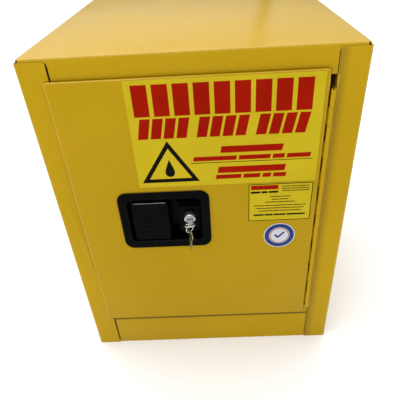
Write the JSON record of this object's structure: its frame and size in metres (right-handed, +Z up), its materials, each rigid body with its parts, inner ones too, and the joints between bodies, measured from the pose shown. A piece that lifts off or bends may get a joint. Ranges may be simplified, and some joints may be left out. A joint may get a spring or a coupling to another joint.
{
  "type": "flammable storage cabinet",
  "caption": "Yellow double-walled bench-top steel cabinet for flammable liquids: leak-tight well, shelf, capped vents, door on a continuous hinge, flush paddle latch with key lock.",
  "frame": {"origin": "centre of the base, on the surface that the cabinet stands on", "axes": "+Z up, the door faces -Y, +X to the right as seen from the front"},
  "size_m": [0.4662, 0.4897, 0.5652],
  "materials": {
    "paint_yellow": "gloss powder coat over folded sheet steel",
    "zinc": "zinc-plated",
    "steel": "plain machined steel",
    "chrome": "polished chrome",
    "black_plastic": "satin black moulding",
    "brass": "plain brass",
    "rubber": "matt black rubber",
    "sticker_yellow": "printed vinyl sticker",
    "sticker_white": "printed vinyl sticker"
  },
  "bodies": {
    "cabinet": {"outer_top": "paint_yellow", "outer_side_left": "paint_yellow", "outer_side_right": "paint_yellow", "outer_back": "paint_yellow", "outer_bottom": "paint_yellow", "sill_front": "paint_yellow", "liner_side_left": "paint_yellow", "liner_side_right": "paint_yellow", "liner_top": "paint_yellow", "liner_back": "paint_yellow", "sump_pan": "paint_yellow", "shelf_clip_front_left": "zinc", "shelf_clip_front_right": "zinc", "shelf_clip_rear_left": "zinc", "shelf_clip_rear_right": "zinc", "hinge_leaf_frame": "paint_yellow", "hinge_pin": "steel", "strike_plate": "steel", "vent_fitting_left": "steel", "vent_fitting_right": "steel", "flame_arrester_left": "brass", "flame_arrester_right": "brass", "ground_screw": "brass", "ground_nut": "brass"},
    "door": {"door_skin": "paint_yellow", "door_liner": "paint_yellow", "hinge_leaf_door": "paint_yellow", "latch_pan": "black_plastic", "latch_bracket": "steel", "hub_clip": "steel", "bolt_guide": "black_plastic", "rod_guide_top": "black_plastic", "rod_guide_bottom": "black_plastic", "paddle_pin": "steel", "paddle_spring": "steel", "lock_housing": "chrome", "lock_nut": "steel", "warning_sticker": "sticker_yellow", "data_sticker": "sticker_yellow", "round_sticker": "sticker_white"},
    "paddle": {"paddle": "black_plastic"},
    "hub": {"latch_hub": "zinc"},
    "bolt": {"latch_bolt": "zinc"},
    "top_rod": {"latch_rod_top": "zinc"},
    "bottom_rod": {"latch_rod_bottom": "zinc"},
    "lock": {"lock_plug": "chrome", "lock_cam": "zinc", "cam_screw": "steel"},
    "key": {"key": "steel"},
    "ring": {"key_ring": "chrome"},
    "spare": {"spare_key": "brass"},
    "shelf": {"shelf": "zinc"},
    "vent_seal_left": {"vent_gasket_left": "rubber"},
    "vent_cap_left": {"vent_cap_left": "steel"},
    "vent_seal_right": {"vent_gasket_right": "rubber"},
    "vent_cap_right": {"vent_cap_right": "steel"}
  },
  "joints": [
    {"name": "door_swing", "type": "hinge", "parent": "cabinet", "child": "door", "pos_m": [0.1789, -0.2321, 0.3], "axis": [0, 0, 1], "range_deg": [0, 180]},
    {"name": "paddle_lift", "type": "hinge", "parent": "door", "child": "paddle", "pos_m": [-0.109, -0.2266, 0.3057], "axis": [0, 0, -1], "range_deg": [0, 30], "stiffness_Nm_per_rad": 0.6, "springref_deg": -17.19},
    {"name": "hub_turn", "type": "hinge", "parent": "door", "child": "hub", "pos_m": [-0.058, -0.2056, 0.3082], "axis": [0, 1, 0], "range_deg": [0, 32]},
    {"name": "bolt_draw", "type": "slide", "parent": "door", "child": "bolt", "axis": [1, 0, 0], "range_m": [0, 0.01214]},
    {"name": "top_rod_draw", "type": "slide", "parent": "door", "child": "top_rod", "axis": [0, 0, -1], "range_m": [0, 0.01214]},
    {"name": "bottom_rod_draw", "type": "slide", "parent": "door", "child": "bottom_rod", "axis": [0, 0, 1], "range_m": [0, 0.01214]},
    {"name": "key_turn", "type": "hinge", "parent": "door", "child": "lock", "pos_m": [-0.02, -0.2286, 0.3093], "axis": [0, -1, 0], "range_deg": [-90, 0]},
    {"name": "key_pull", "type": "slide", "parent": "lock", "child": "key", "axis": [0, -1, 0], "range_m": [0, 0.028]},
    {"name": "ring_swing", "type": "hinge", "parent": "key", "child": "ring", "pos_m": [-0.02, -0.2525, 0.3093], "axis": [0, -1, 0], "range_deg": [-8, 8]},
    {"name": "spare_swing", "type": "hinge", "parent": "ring", "child": "spare", "pos_m": [-0.02, -0.2525, 0.299], "axis": [0.766, 0.6428, 0], "range_deg": [-20, 20]},
    {"name": "shelf_lift", "type": "slide", "parent": "cabinet", "child": "shelf", "axis": [0, 0, 1], "range_m": [0, 0.05]},
    {"name": "vent_travel_left", "type": "slide", "parent": "cabinet", "child": "vent_seal_left", "axis": [-1, 0, 0], "range_m": [0, 0.0123]},
    {"name": "vent_unscrew_left", "type": "hinge", "parent": "vent_seal_left", "child": "vent_cap_left", "pos_m": [-0.22225, 0, 0.47], "axis": [-1, 0, 0], "range_deg": [0, 864]},
    {"name": "vent_travel_right", "type": "slide", "parent": "cabinet", "child": "vent_seal_right", "axis": [1, 0, 0], "range_m": [0, 0.0123]},
    {"name": "vent_unscrew_right", "type": "hinge", "parent": "vent_seal_right", "child": "vent_cap_right", "pos_m": [0.22225, 0, 0.14], "axis": [1, 0, 0], "range_deg": [0, 864]}
  ],
  "couplings": [
    {"joint": "hub_turn", "follows": "paddle_lift", "ratio": 1.0667},
    {"joint": "bolt_draw", "follows": "paddle_lift", "m_per_rad": 0.023163},
    {"joint": "top_rod_draw", "follows": "paddle_lift", "m_per_rad": 0.023163},
    {"joint": "bottom_rod_draw", "follows": "paddle_lift", "m_per_rad": 0.023163},
    {"joint": "vent_travel_left", "follows": "vent_unscrew_left", "m_per_rad": 0.00080851},
    {"joint": "vent_travel_right", "follows": "vent_unscrew_right", "m_per_rad": 0.00080851}
  ]
}
